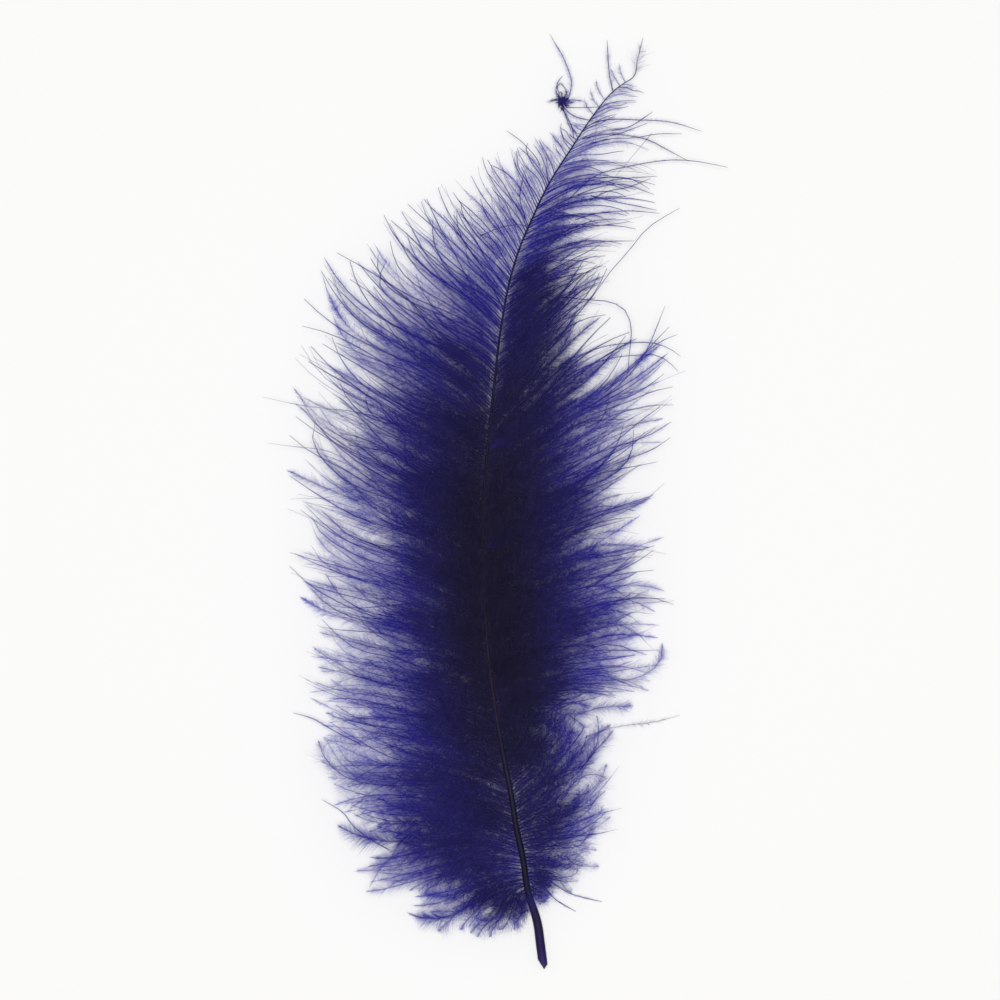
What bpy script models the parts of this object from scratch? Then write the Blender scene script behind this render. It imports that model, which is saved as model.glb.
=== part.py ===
"""A downy plume feather, 150 mm long, lying on a table with its quill towards -Y.

Metres, +Z up. The origin is under the middle of the feather, on the table.
All lengths below are in millimetres.
"""

import math

import bmesh
import bpy
import numpy as np
from mathutils import Matrix, Vector

MM = 0.001
WELD = 0.00001

# Shaft: x, y, height of its centre, radius, from the quill's end to the thin tip.
SHAFT = (
    (7.7, -76.5, 0.72, 0.72),
    (7.0, -71.0, 0.75, 0.73),
    (6.5, -67.5, 0.85, 0.71),
    (5.0, -62.4, 1.2, 0.57),
    (4.2, -57.3, 1.6, 0.53),
    (3.1, -52.1, 1.9, 0.51),
    (2.3, -47.0, 2.2, 0.48),
    (0.6, -38.2, 2.4, 0.43),
    (-1.0, -28.0, 2.5, 0.40),
    (-1.9, -17.7, 2.5, 0.38),
    (-2.3, -7.4, 2.5, 0.37),
    (-2.1, 1.5, 2.5, 0.36),
    (-1.5, 9.3, 2.5, 0.35),
    (-0.4, 19.6, 2.5, 0.34),
    (0.7, 28.8, 2.5, 0.32),
    (2.9, 39.0, 2.4, 0.30),
    (6.0, 46.7, 2.3, 0.28),
    (8.5, 51.8, 2.3, 0.26),
    (11.8, 57.0, 2.4, 0.24),
    (15.9, 63.1, 2.7, 0.22),
    (18.5, 66.2, 3.0, 0.20),
    (20.3, 67.6, 3.2, 0.19),
    (22.0, 68.8, 3.3, 0.19),
    (22.6, 71.5, 3.2, 0.18),
    (23.5, 75.0, 3.0, 0.16),
)
SHAFT_BEVEL = 3

# Quill end: two slanting cuts meet in a point; their slopes in degrees, seen from above.
QUILL_POINT = (7.6, -75.0)
QUILL_CUT_LEFT = -57
QUILL_CUT_RIGHT = 56
CUT_BOX = 20.0
CUT_OVERLAP = 0.3

# Locks of barbs: y of the root on the shaft, then x and y of the tip.
LEFT_LOCKS = (
    (56.0, 9.0, 59.8),
    (52.5, 6.0, 59.0),
    (49.0, 3.2, 57.5),
    (45.0, 0.5, 55.5),
    (41.5, -3.5, 54.5),
    (38.0, -7.5, 52.0),
    (35.0, -11.5, 50.5),
    (31.5, -15.5, 47.5),
    (28.0, -18.5, 46.0),
    (24.5, -20.0, 41.5),
    (21.0, -24.0, 40.0),
    (17.5, -28.5, 39.5),
    (13.5, -30.0, 35.0),
    (9.5, -31.5, 30.5),
    (5.0, -33.0, 25.0),
    (1.0, -31.5, 20.5),
    (-3.0, -33.0, 16.5),
    (-6.5, -32.5, 12.5),
    (-10.0, -34.0, 8.0),
    (-13.5, -30.5, 4.0),
    (-17.0, -33.5, 0.5),
    (-20.5, -32.0, -5.5),
    (-24.0, -34.5, -11.5),
    (-27.0, -28.5, -17.0),
    (-30.0, -31.0, -21.5),
    (-33.5, -31.5, -27.5),
    (-36.0, -29.5, -31.0),
    (-38.5, -32.5, -34.5),
    (-41.5, -26.5, -40.5),
    (-44.5, -26.5, -45.5),
    (-47.5, -27.5, -50.5),
    (-50.5, -25.0, -56.5),
    (-53.5, -20.5, -63.0),
    (-56.0, -14.5, -67.0),
    (-58.5, -8.5, -69.5),
    (-60.5, -3.0, -70.0),
    (-62.0, 3.0, -70.0),
)
RIGHT_LOCKS = (
    (65.5, 24.0, 66.0),
    (61.5, 25.5, 62.5),
    (57.5, 26.5, 59.0),
    (53.5, 26.5, 55.5),
    (49.5, 26.0, 52.5),
    (45.5, 26.0, 49.5),
    (41.5, 26.0, 46.5),
    (37.0, 22.5, 43.0),
    (32.0, 19.5, 39.0),
    (26.5, 20.5, 35.5),
    (20.0, 23.5, 33.0),
    (14.0, 26.5, 31.0),
    (8.5, 28.5, 28.0),
    (4.0, 29.5, 24.0),
    (-0.5, 28.0, 19.0),
    (-4.5, 28.5, 15.5),
    (-8.5, 28.0, 11.0),
    (-12.5, 26.5, 5.0),
    (-16.0, 24.5, -1.0),
    (-19.0, 28.5, -6.0),
    (-22.0, 27.5, -9.0),
    (-25.0, 28.5, -12.5),
    (-28.0, 27.5, -17.0),
    (-31.0, 28.0, -21.5),
    (-34.0, 26.5, -26.0),
    (-37.0, 25.0, -29.5),
    (-40.5, 21.0, -33.5),
    (-44.0, 20.0, -36.5),
    (-47.5, 19.5, -41.5),
    (-50.5, 18.0, -46.0),
    (-53.5, 19.5, -50.5),
    (-56.5, 17.0, -55.5),
    (-59.0, 14.5, -61.0),
    (-61.0, 14.0, -65.0),
    (-62.3, 9.0, -66.0),
)

# Lone barbs that reach past the locks, as thin locks: side, then as above.
LONE_BARBS = (
    (-1, 18.5, -29.5, 43.5),
    (-1, -4.0, -37.7, 17.0),
    (-1, -12.0, -37.0, 10.0),
    (1, 66.8, 17.7, 74.5),
    (1, 55.0, 33.0, 60.0),
    (1, 48.0, 37.7, 54.0),
    (1, -45.5, 29.5, -34.0),
)
LONE_WIDTH = 0.34

# A lock's half width, and its share of that along the lock from root to tip.
LOCK_HALF_WIDTH = 2.7
LOCK_SHARES = (0.40, 0.78, 1.0, 0.98, 0.68, 0.08)
LOCK_FLATNESS = 0.24
FULL_LENGTH = 25.0
LEAST_SCALE = 0.5
HANDLE = 0.35

# Layers of locks, dealt out in this order: rise off the shaft, height of the outer third, height of the tip.
LAYERS = ((0.3, 0.9, 0.5), (2.4, 8.0, 6.4), (1.2, 3.6, 2.6), (3.6, 14.0, 11.6))
LAYER_BANKS = (4, -12, 14, 10)

# Turn of a lock against its chord, by the y of its root, in degrees towards the feather's tip.
TURN_AT = (-63.0, -55.0, -42.0, -20.0, 0.0, 20.0, 50.0, 68.0)
LEFT_START = (44, 36, 26, 18, 16, 14, 4, 0)
LEFT_END = (-36, -32, -12, 6, 14, 22, 6, 0)
RIGHT_START = (32, 30, 24, 18, 18, 24, 34, 12)
RIGHT_END = (-30, -26, -12, 6, 4, -4, -24, -8)

# Bed: the closed down under the shaft, where the lock roots run together.
BED = (
    (46.0, 0.9),
    (36.0, 2.4),
    (26.0, 3.9),
    (14.0, 5.4),
    (0.0, 6.2),
    (-14.0, 6.4),
    (-28.0, 6.2),
    (-40.0, 5.6),
    (-50.0, 4.4),
    (-58.0, 2.6),
    (-63.0, 1.0),
)
BED_FLATNESS = 0.19
BED_HEIGHT = 1.05
TABLE_CUT = (120.0, 200.0, 10.0)

# Knot: a tangled ball of down beside the tip, on one barb that goes on upwards from it.
KNOT_AT = (10.6, 65.0, 3.2)
KNOT_RADIUS = 1.25
KNOT_SQUASH = (1.0, 1.15, 0.8)
KNOT_BARB = (
    (16.6, 64.1, 2.8, 0.22),
    (13.5, 64.4, 3.1, 0.24),
    (10.6, 65.0, 3.2, 0.3),
    (11.6, 68.0, 3.6, 0.26),
    (11.2, 71.0, 3.9, 0.22),
    (9.8, 73.4, 4.0, 0.16),
    (8.8, 75.0, 4.0, 0.09),
)

FEATHER_COLOUR = (0.034, 0.026, 0.145, 1.0)


def clear_scene():
    for obj in list(bpy.data.objects):
        bpy.data.objects.remove(obj, do_unlink=True)


def new_collection(name):
    collection = bpy.data.collections.new(name)
    bpy.context.scene.collection.children.link(collection)
    return collection


def add_curve(name, paths, collection, profile=None, bevel=0, twist="Z_UP"):
    """A curve with one poly spline per path; its points are x, y, z, radius in millimetres, and tilt."""
    data = bpy.data.curves.new(name, "CURVE")
    data.dimensions = "3D"
    data.twist_mode = twist
    data.use_fill_caps = True
    if profile is None:
        data.bevel_depth = MM
        data.bevel_resolution = bevel
    else:
        data.bevel_mode = "OBJECT"
        data.bevel_object = profile
    for path in paths:
        spline = data.splines.new("POLY")
        spline.points.add(len(path) - 1)
        for point, (x, y, z, radius, tilt) in zip(spline.points, path):
            point.co = (x * MM, y * MM, z * MM, 1.0)
            point.radius = radius
            point.tilt = tilt
    obj = bpy.data.objects.new(name, data)
    collection.objects.link(obj)
    return obj


def flat_profile(name, flatness, collection):
    """A six-point lens one millimetre in half width, as the section of a flattened lock."""
    data = bpy.data.curves.new(name, "CURVE")
    data.dimensions = "2D"
    data.fill_mode = "NONE"
    spline = data.splines.new("POLY")
    corners = ((1, 0), (0.5, flatness), (-0.5, flatness), (-1, 0), (-0.5, -flatness), (0.5, -flatness))
    spline.points.add(len(corners) - 1)
    for point, (x, y) in zip(spline.points, corners):
        point.co = (x * MM, y * MM, 0.0, 1.0)
    spline.use_cyclic_u = True
    obj = bpy.data.objects.new(name, data)
    obj.hide_render = True
    collection.objects.link(obj)
    return obj


def curve_to_mesh(curve, collection):
    """The curve's swept form as a closed mesh object of the same name; the curve is removed."""
    graph = bpy.context.evaluated_depsgraph_get()
    mesh = bpy.data.meshes.new_from_object(curve.evaluated_get(graph))
    obj = bpy.data.objects.new(curve.name + "_form", mesh)
    obj.matrix_world = curve.matrix_world.copy()
    collection.objects.link(obj)
    bpy.data.objects.remove(curve, do_unlink=True)
    weld(obj)
    return obj


def weld(obj):
    """Joins the end caps to the sides and turns every face outwards."""
    form = bmesh.new()
    form.from_mesh(obj.data)
    bmesh.ops.remove_doubles(form, verts=form.verts, dist=WELD)
    bmesh.ops.recalc_face_normals(form, faces=form.faces)
    form.to_mesh(obj.data)
    form.free()


def shaft_at(y):
    """x and height of the shaft's centre where it crosses this y."""
    table = np.array(SHAFT)
    return [float(np.interp(y, table[:, 1], table[:, column])) for column in (0, 2)]


def turned(direction, degrees):
    return Matrix.Rotation(math.radians(degrees), 3, "Z") @ direction


def lock_path(root_y, tip, layer, side, width):
    """Points of one lock, from inside the shaft out to its tip, along a curve with two handles."""
    start_turn = float(np.interp(root_y, TURN_AT, LEFT_START if side < 0 else RIGHT_START))
    end_turn = float(np.interp(root_y, TURN_AT, LEFT_END if side < 0 else RIGHT_END))
    x, z = shaft_at(root_y)
    rise, crest, tip_z = LAYERS[layer]
    root = Vector((x, root_y, z))
    chord = Vector((tip[0] - x, tip[1] - root_y, 0.0))
    scale = max(LEAST_SCALE, min(1.0, chord.length / FULL_LENGTH))
    leave = turned(chord, side * start_turn) * HANDLE
    arrive = turned(chord, side * end_turn) * HANDLE
    near = root + leave + Vector((0, 0, rise * scale))
    far = Vector((tip[0] - arrive.x, tip[1] - arrive.y, z + (crest - z) * scale))
    end = Vector((tip[0], tip[1], z + (tip_z - z) * scale))
    bank = math.radians(side * LAYER_BANKS[layer])
    path = []
    for t, share in zip(np.linspace(0.0, 1.0, len(LOCK_SHARES)), LOCK_SHARES):
        point = root * (1 - t) ** 3 + near * 3 * t * (1 - t) ** 2 + far * 3 * t**2 * (1 - t) + end * t**3
        path.append((*point, LOCK_HALF_WIDTH * share * scale * width, bank))
    return path


def add_locks(collection, profile):
    """Both rows of locks, dealt out over the layers in turn, and the lone barbs between them."""
    paths = []
    for side, table in ((-1, LEFT_LOCKS), (1, RIGHT_LOCKS)):
        for index, (root_y, tip_x, tip_y) in enumerate(table):
            layer = (index + (side > 0)) % len(LAYERS)
            paths.append(lock_path(root_y, (tip_x, tip_y), layer, side, 1.0))
    for index, (side, root_y, tip_x, tip_y) in enumerate(LONE_BARBS):
        paths.append(lock_path(root_y, (tip_x, tip_y), index % len(LAYERS), side, LONE_WIDTH))
    return curve_to_mesh(add_curve("locks", paths, collection, profile), collection)


def add_shaft(collection):
    path = [(*point, 0.0) for point in SHAFT]
    curve = add_curve("shaft", [path], collection, bevel=SHAFT_BEVEL, twist="MINIMUM")
    return curve_to_mesh(curve, collection)


def add_bed(collection, profile):
    path = [(shaft_at(y)[0], y, BED_HEIGHT, half_width, 0.0) for y, half_width in BED]
    return curve_to_mesh(add_curve("bed", [path], collection, profile), collection)


def add_knot(collection):
    """The tangled ball and the barb that carries it, as two shapes that run into each other."""
    path = [(*point, 0.0) for point in KNOT_BARB]
    barb = curve_to_mesh(add_curve("knot_barb", [path], collection, bevel=1, twist="MINIMUM"), collection)
    bpy.ops.mesh.primitive_ico_sphere_add(subdivisions=2, radius=KNOT_RADIUS * MM)
    ball = bpy.context.object
    ball.name = "knot_ball"
    ball.location = Vector(KNOT_AT) * MM
    ball.scale = KNOT_SQUASH
    return [barb, ball]


def add_cutter(name, size, location, turn_degrees, collection):
    bpy.ops.mesh.primitive_cube_add(size=1.0)
    cutter = bpy.context.object
    cutter.name = name
    cutter.scale = Vector(size) * MM
    cutter.location = Vector(location) * MM
    cutter.rotation_euler = (0, 0, math.radians(turn_degrees))
    for old in list(cutter.users_collection):
        old.objects.unlink(cutter)
    collection.objects.link(cutter)
    cutter.display_type = "WIRE"
    return cutter


def combine(base, other, operation, with_itself=False):
    """Applies one Boolean to the base object and removes the other."""
    modifier = base.modifiers.new(operation.lower(), "BOOLEAN")
    modifier.object = other
    modifier.operation = operation
    modifier.solver = "EXACT"
    modifier.use_self = with_itself
    graph = bpy.context.evaluated_depsgraph_get()
    mesh = bpy.data.meshes.new_from_object(base.evaluated_get(graph))
    base.modifiers.clear()
    base.data = mesh
    bpy.data.objects.remove(other, do_unlink=True)


def cut_quill_end(feather, collection):
    """Two slanting cuts that meet in the quill's point, each by a box whose top face runs through it."""
    for side, slope in ((-1, QUILL_CUT_LEFT), (1, QUILL_CUT_RIGHT)):
        along = turned(Vector((1, 0, 0)), slope)
        down = turned(Vector((0, -1, 0)), slope)
        point = Vector((*QUILL_POINT, 0.0))
        centre = point + down * CUT_BOX / 2 + along * side * CUT_BOX * CUT_OVERLAP
        cutter = add_cutter("quill_cut", (CUT_BOX, CUT_BOX, CUT_BOX), centre, slope, collection)
        combine(feather, cutter, "DIFFERENCE")


def cut_flat_underside(feather, collection):
    """The table presses the lowest down flat: everything under z = 0 goes."""
    width, length, depth = TABLE_CUT
    cutter = add_cutter("table_cut", (width, length, depth), (0, 0, -depth / 2), 0, collection)
    combine(feather, cutter, "DIFFERENCE")


def feather_material():
    material = bpy.data.materials.new("dyed down")
    material.use_nodes = True
    shader = material.node_tree.nodes["Principled BSDF"]
    shader.inputs["Base Color"].default_value = FEATHER_COLOUR
    shader.inputs["Roughness"].default_value = 0.7
    return material


def build():
    clear_scene()
    parts = new_collection("down feather")
    cutters = new_collection("cutters")
    cutters.hide_render = True
    lock_profile = flat_profile("lock_profile", LOCK_FLATNESS, cutters)
    bed_profile = flat_profile("bed_profile", BED_FLATNESS, cutters)
    feather = add_shaft(parts)
    feather.name = "feather"
    cut_quill_end(feather, cutters)
    combine(feather, add_bed(parts, bed_profile), "UNION")
    combine(feather, add_locks(parts, lock_profile), "UNION", with_itself=True)
    for piece in add_knot(parts):
        combine(feather, piece, "UNION")
    cut_flat_underside(feather, cutters)
    for profile in (lock_profile, bed_profile):
        bpy.data.objects.remove(profile, do_unlink=True)
    feather.data.materials.clear()
    feather.data.materials.append(feather_material())
    for face in feather.data.polygons:
        face.use_smooth = True


build()
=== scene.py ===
"""A dyed downy plume lying on a pale table, seen from straight above.

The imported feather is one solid. Here it gets its true build: a tapered shaft, some twelve hundred barbs
that leave it in two rows, and the barbules that make each barb a soft plume of its own.
Lengths in the tables are millimetres in the frame of the solid; the quill points to -Y.
"""

import math
from functools import partial

import bmesh
import bpy
import numpy as np
from mathutils import Matrix, Vector


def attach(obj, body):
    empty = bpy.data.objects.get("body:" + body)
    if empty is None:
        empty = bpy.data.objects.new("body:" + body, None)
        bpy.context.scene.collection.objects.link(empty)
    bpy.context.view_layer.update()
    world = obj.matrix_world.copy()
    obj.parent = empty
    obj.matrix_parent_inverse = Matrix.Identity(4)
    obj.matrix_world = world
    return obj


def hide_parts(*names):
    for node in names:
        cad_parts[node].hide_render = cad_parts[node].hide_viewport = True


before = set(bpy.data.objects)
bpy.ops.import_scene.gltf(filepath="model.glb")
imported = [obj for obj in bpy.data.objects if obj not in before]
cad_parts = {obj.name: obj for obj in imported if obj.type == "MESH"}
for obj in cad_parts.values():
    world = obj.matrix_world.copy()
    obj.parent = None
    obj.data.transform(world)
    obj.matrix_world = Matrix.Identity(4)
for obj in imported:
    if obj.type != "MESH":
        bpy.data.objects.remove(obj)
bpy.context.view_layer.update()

MM = 0.001
SEED = 42

# Shaft: x, y, height of its centre, radius, from the quill's end to the thin tip.
SHAFT = (
    (7.7, -76.5, 0.72, 0.72),
    (7.0, -71.0, 0.75, 0.73),
    (6.5, -67.5, 0.85, 0.70),
    (5.0, -62.4, 1.2, 0.56),
    (4.2, -57.3, 1.6, 0.52),
    (3.1, -52.1, 1.9, 0.50),
    (2.3, -47.0, 2.2, 0.47),
    (0.6, -38.2, 2.4, 0.40),
    (-1.0, -28.0, 2.5, 0.33),
    (-1.9, -17.7, 2.5, 0.28),
    (-2.3, -7.4, 2.5, 0.25),
    (-2.1, 1.5, 2.5, 0.24),
    (-1.5, 9.3, 2.5, 0.22),
    (-0.4, 19.6, 2.5, 0.20),
    (0.7, 28.8, 2.5, 0.18),
    (2.9, 39.0, 2.4, 0.16),
    (6.0, 46.7, 2.3, 0.15),
    (8.5, 51.8, 2.3, 0.13),
    (11.8, 57.0, 2.4, 0.12),
    (15.9, 63.1, 2.7, 0.10),
    (18.5, 66.2, 3.0, 0.085),
    (20.3, 67.6, 3.2, 0.075),
    (22.0, 68.8, 3.3, 0.065),
    (22.6, 71.5, 3.2, 0.045),
    (23.5, 75.0, 3.0, 0.03),
)
SHAFT_SIDES = 16
SHAFT_STEPS = 6
# The two cuts that make the quill's point, each by the turn of its face from square, in degrees.
QUILL_POINT = (7.6, -75.0)
QUILL_CUTS = (-57, 56)

# Guides: y of the root on the shaft, then x and y of the tip, one per bunch of barbs.
LEFT_GUIDES = (
    (59.5, 11.0, 61.2),
    (57.5, 9.6, 60.4),
    (55.0, 7.8, 59.6),
    (52.5, 6.0, 59.0),
    (49.0, 3.2, 57.5),
    (45.0, -0.5, 56.3),
    (41.5, -4.0, 56.0),
    (38.0, -8.0, 53.0),
    (35.0, -11.5, 50.5),
    (31.5, -15.5, 47.5),
    (28.0, -18.5, 46.0),
    (24.5, -20.0, 41.5),
    (21.0, -24.0, 40.0),
    (17.5, -28.5, 39.5),
    (13.5, -30.0, 35.0),
    (9.5, -31.5, 30.5),
    (5.0, -33.0, 25.0),
    (1.0, -31.5, 20.5),
    (-3.0, -33.0, 16.5),
    (-6.5, -32.5, 12.5),
    (-10.0, -34.0, 8.0),
    (-13.5, -30.5, 4.0),
    (-17.0, -33.5, 0.5),
    (-20.5, -32.0, -5.5),
    (-24.0, -34.0, -11.5),
    (-28.5, -28.5, -16.5),
    (-33.5, -30.5, -21.5),
    (-38.0, -31.0, -27.5),
    (-42.0, -29.0, -31.5),
    (-45.5, -28.8, -35.0),
    (-48.5, -28.0, -39.0),
    (-51.0, -25.5, -43.0),
    (-53.2, -25.0, -47.5),
    (-55.2, -25.8, -52.0),
    (-57.0, -23.0, -57.0),
    (-58.5, -20.0, -61.5),
    (-59.6, -16.5, -65.6),
    (-60.5, -11.5, -68.4),
    (-61.2, -7.0, -69.4),
    (-61.9, -3.0, -69.2),
    (-62.5, 0.5, -69.2),
    (-63.0, 3.4, -68.4),
)
RIGHT_GUIDES = (
    (65.5, 23.5, 66.6),
    (63.0, 22.8, 65.0),
    (60.5, 20.5, 62.3),
    (58.0, 24.5, 60.6),
    (55.0, 25.5, 57.5),
    (52.0, 25.5, 54.0),
    (49.0, 25.5, 51.5),
    (45.5, 25.7, 48.5),
    (41.5, 25.5, 46.0),
    (37.0, 20.5, 43.0),
    (32.0, 17.5, 41.0),
    (26.0, 18.0, 39.5),
    (20.0, 18.0, 38.0),
    (15.0, 16.0, 35.5),
    (11.0, 15.5, 32.0),
    (8.5, 22.0, 29.5),
    (6.0, 26.5, 27.0),
    (3.0, 28.8, 23.5),
    (-0.5, 28.0, 19.0),
    (-4.5, 28.5, 15.5),
    (-8.5, 27.2, 10.6),
    (-12.5, 25.7, 4.8),
    (-16.0, 23.8, -1.2),
    (-19.0, 27.5, -6.2),
    (-22.0, 26.5, -9.3),
    (-25.0, 27.5, -12.8),
    (-28.0, 26.6, -17.2),
    (-31.0, 27.0, -21.2),
    (-34.0, 25.5, -25.5),
    (-37.5, 24.5, -29.6),
    (-39.5, 6.5, -29.8),
    (-42.0, 9.0, -29.8),
    (-44.5, 11.5, -30.5),
    (-46.5, 14.0, -31.8),
    (-48.0, 16.5, -33.5),
    (-49.5, 19.5, -35.5),
    (-51.0, 16.8, -40.0),
    (-52.5, 17.8, -43.5),
    (-54.0, 18.0, -48.0),
    (-55.5, 17.5, -52.0),
    (-57.5, 15.5, -56.0),
    (-59.5, 14.0, -59.0),
    (-60.5, 11.5, -61.0),
    (-61.5, 9.0, -63.0),
    (-62.5, 7.8, -65.2),
)

# Stray barbs: length of their barbules, height at both ends, then points from root to tip.
# The plain ones, with those that hold the knot:
STRAYS = (
    (0.8, 3.3, 4.0, ((11.3, 65.0), (11.8, 66.3), (11.9, 68.3), (10.7, 71.7), (9.5, 73.7), (8.5, 75.5))),
    (0.5, 3.2, 3.6, ((10.6, 64.9), (11.1, 66.3), (10.3, 67.6), (9.7, 67.1), (10.0, 65.8))),
    (0.5, 3.2, 3.4, ((10.5, 65.0), (9.5, 66.3), (9.8, 67.9), (10.6, 68.9))),
    (0.9, 3.2, 3.2, ((10.6, 64.7), (12.2, 65.0), (14.0, 64.8))),
    (0.0, 3.0, 2.9, ((11.1, 63.8), (13.7, 63.8), (16.4, 63.9))),
    (0.9, 3.0, 2.6, ((10.5, 64.1), (11.8, 62.8), (13.4, 62.1), (15.6, 61.7))),
    (0.7, 3.0, 2.6, ((10.3, 63.9), (11.4, 62.1), (12.1, 60.5), (12.4, 58.6))),
    (0.5, 3.0, 2.5, ((10.6, 63.8), (11.3, 61.8), (11.9, 60.2))),
    (0.7, 3.0, 3.8, ((18.6, 66.5), (18.1, 68.9), (17.9, 70.8), (17.7, 74.6))),
    (0.5, 2.5, 4.5, ((15.3, 61.3), (18.0, 61.9), (22.1, 61.8), (27.9, 61.4), (32.8, 59.9))),
    (0.6, 2.5, 4.0, ((13.7, 58.8), (16.6, 59.4), (19.4, 59.5), (23.9, 58.7), (27.5, 56.9), (30.8, 55.1))),
    (0.0, 2.5, 4.0, ((15.0, 58.1), (18.5, 58.8), (22.1, 58.9), (25.7, 59.5), (29.7, 59.5))),
    (0.3, 2.5, 4.5, ((11.6, 49.1), (15.9, 52.9), (22.1, 54.5), (27.5, 55.3), (32.0, 55.1), (37.0, 54.1))),
    (0.4, 4.0, 5.5, ((15.0, 51.2), (19.8, 52.2), (25.7, 52.6))),
    (0.4, 4.0, 3.0, ((12.9, 49.7), (16.6, 51.0), (20.3, 51.4), (25.3, 49.8))),
    (0.4, 4.0, 6.0, ((15.0, 48.9), (17.7, 50.2), (21.2, 50.9), (24.6, 52.2))),
    (0.4, 4.0, 3.0, ((15.0, 49.6), (18.1, 48.8), (21.7, 48.1), (25.7, 47.3))),
    (0.4, 4.0, 4.5, ((12.6, 45.7), (15.9, 46.7), (21.2, 47.1), (26.1, 46.7))),
    (0.4, 3.5, 4.5, ((18.5, 60.1), (21.4, 60.7), (25.0, 63.0))),
    (0.0, 6.5, 5.5, (
        (9.0, 25.5), (12.2, 29.6), (14.8, 32.6), (18.5, 37.7), (20.8, 40.2), (24.3, 44.4), (29.3, 47.5),
    )),
    (0.6, 4.0, 6.0, ((10.1, 39.0), (13.4, 41.2), (16.6, 42.1), (22.1, 42.2))),
    (0.3, 6.0, 4.0, (
        (10.3, 33.2), (14.2, 32.8), (17.3, 32.6), (19.7, 31.8),
        (21.1, 30.2), (21.6, 27.4), (21.3, 24.5), (21.0, 20.6),
    )),
    (0.6, 5.0, 7.0, ((16.6, 16.7), (20.9, 20.4), (24.0, 24.7), (26.9, 31.7))),
    (0.6, 5.0, 7.0, ((17.4, 18.0), (21.7, 21.9), (24.8, 25.5), (27.6, 28.4))),
    (0.6, 5.0, 6.0, ((18.2, 19.0), (22.5, 23.1), (26.0, 25.9), (28.9, 27.2))),
    (0.4, 6.0, 4.0, (
        (11.4, 22.6), (15.0, 24.6), (18.3, 25.5), (21.7, 25.9), (24.8, 25.9), (27.5, 25.1), (29.5, 23.7),
    )),
    (0.4, 6.0, 4.0, (
        (11.6, 20.8), (15.0, 22.4), (18.7, 23.5), (22.4, 23.9), (25.6, 23.9), (27.7, 22.7), (29.1, 21.3),
    )),
    (0.5, 5.0, 6.0, ((15.0, 15.5), (20.9, 17.2), (24.0, 18.8), (26.8, 20.9))),
    (0.5, 5.0, 6.0, ((15.0, 14.3), (20.9, 16.4), (24.8, 18.0), (28.2, 18.8))),
    (0.5, 4.0, 5.0, ((14.2, 12.2), (19.3, 14.5), (24.8, 15.8), (28.3, 15.9))),
    (0.9, 5.0, 6.0, ((13.4, 3.9), (19.3, 6.6), (24.8, 8.7), (27.8, 10.7))),
    (0.0, 4.0, 4.5, ((6.9, 54.4), (6.0, 56.0), (3.8, 58.3), (1.6, 59.9))),
    (0.3, 4.0, 6.0, ((-2.7, 43.1), (0.5, 44.4), (3.7, 44.8), (6.4, 44.0))),
    (0.3, 3.0, 2.5, ((-17.5, -55.6), (-20.5, -53.9), (-23.1, -51.9), (-24.9, -49.6), (-28.2, -47.6))),
    (0.5, 4.0, 3.0, ((-22.0, -38.6), (-26.0, -36.6), (-29.5, -34.6), (-32.8, -33.6))),
    (0.4, 2.0, 1.5, ((8.5, -60.8), (11.5, -62.6), (13.5, -63.3), (16.9, -64.1))),
    (0.4, 1.5, 1.2, ((7.5, -61.5), (9.5, -63.8), (12.7, -65.7))),
)
# Thinner ones:
FAINT_STRAYS = (
    (0.2, 5.0, 4.0, ((-20.4, 12.7), (-24.5, 14.8), (-31.7, 15.9), (-37.7, 17.2))),
    (0.2, 5.0, 4.0, ((-22.1, 5.5), (-26.9, 8.4), (-33.3, 9.3), (-37.0, 9.8))),
    (0.0, 5.0, 3.0, ((-18.8, 5.2), (-21.6, 3.2), (-26.9, 1.1), (-33.3, 0.8))),
    (0.9, 3.0, 3.6, ((20.6, 67.9), (19.9, 69.4), (19.6, 70.9))),
    (0.9, 2.9, 3.4, ((19.8, 67.2), (18.8, 68.9), (18.2, 70.2))),
    (0.9, 2.8, 3.3, ((17.4, 64.9), (16.3, 66.6), (15.9, 68.4))),
    (0.8, 2.8, 3.3, ((16.5, 63.8), (15.4, 65.2), (15.0, 66.9))),
    (0.8, 2.8, 3.3, ((15.6, 62.6), (14.4, 64.0), (14.0, 65.3))),
    (0.0, 6.0, 5.0, ((24.8, 59.4), (22.1, 56.2), (18.5, 52.0), (14.5, 47.5))),
    (0.0, 5.0, 4.0, ((15.9, 62.0), (15.9, 59.9), (15.8, 57.5))),
    (0.4, 3.0, 3.5, ((9.8, -53.2), (14.5, -53.3), (19.5, -52.3))),
    (0.5, 3.0, 3.5, ((11.5, -51.6), (15.6, -50.1), (20.1, -48.9))),
    (0.4, 3.0, 4.0, ((11.0, -50.4), (16.0, -46.6), (19.6, -42.2))),
)
# The plume at the tip, and a faint one low on the right:
PLUMED_STRAYS = (
    (2.4, 3.1, 3.0, ((21.7, 68.4), (22.2, 69.2), (22.5, 70.8), (22.8, 72.5), (23.3, 74.4))),
    (1.0, 3.0, 2.0, ((14.2, -37.6), (17.4, -36.3), (21.1, -35.6), (25.4, -35.1), (29.5, -34.0))),
)
# Full ones that cross the closed down on the right:
DEEP_STRAYS = (
    (2.4, 3.2, 4.5, ((-1.5, -7.0), (4.0, -4.0), (9.0, -1.3), (13.5, 1.1), (18.0, 3.2))),
    (2.2, 3.2, 4.5, ((-1.0, 9.0), (5.0, 12.3), (10.0, 15.0), (14.5, 18.0))),
)
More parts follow.
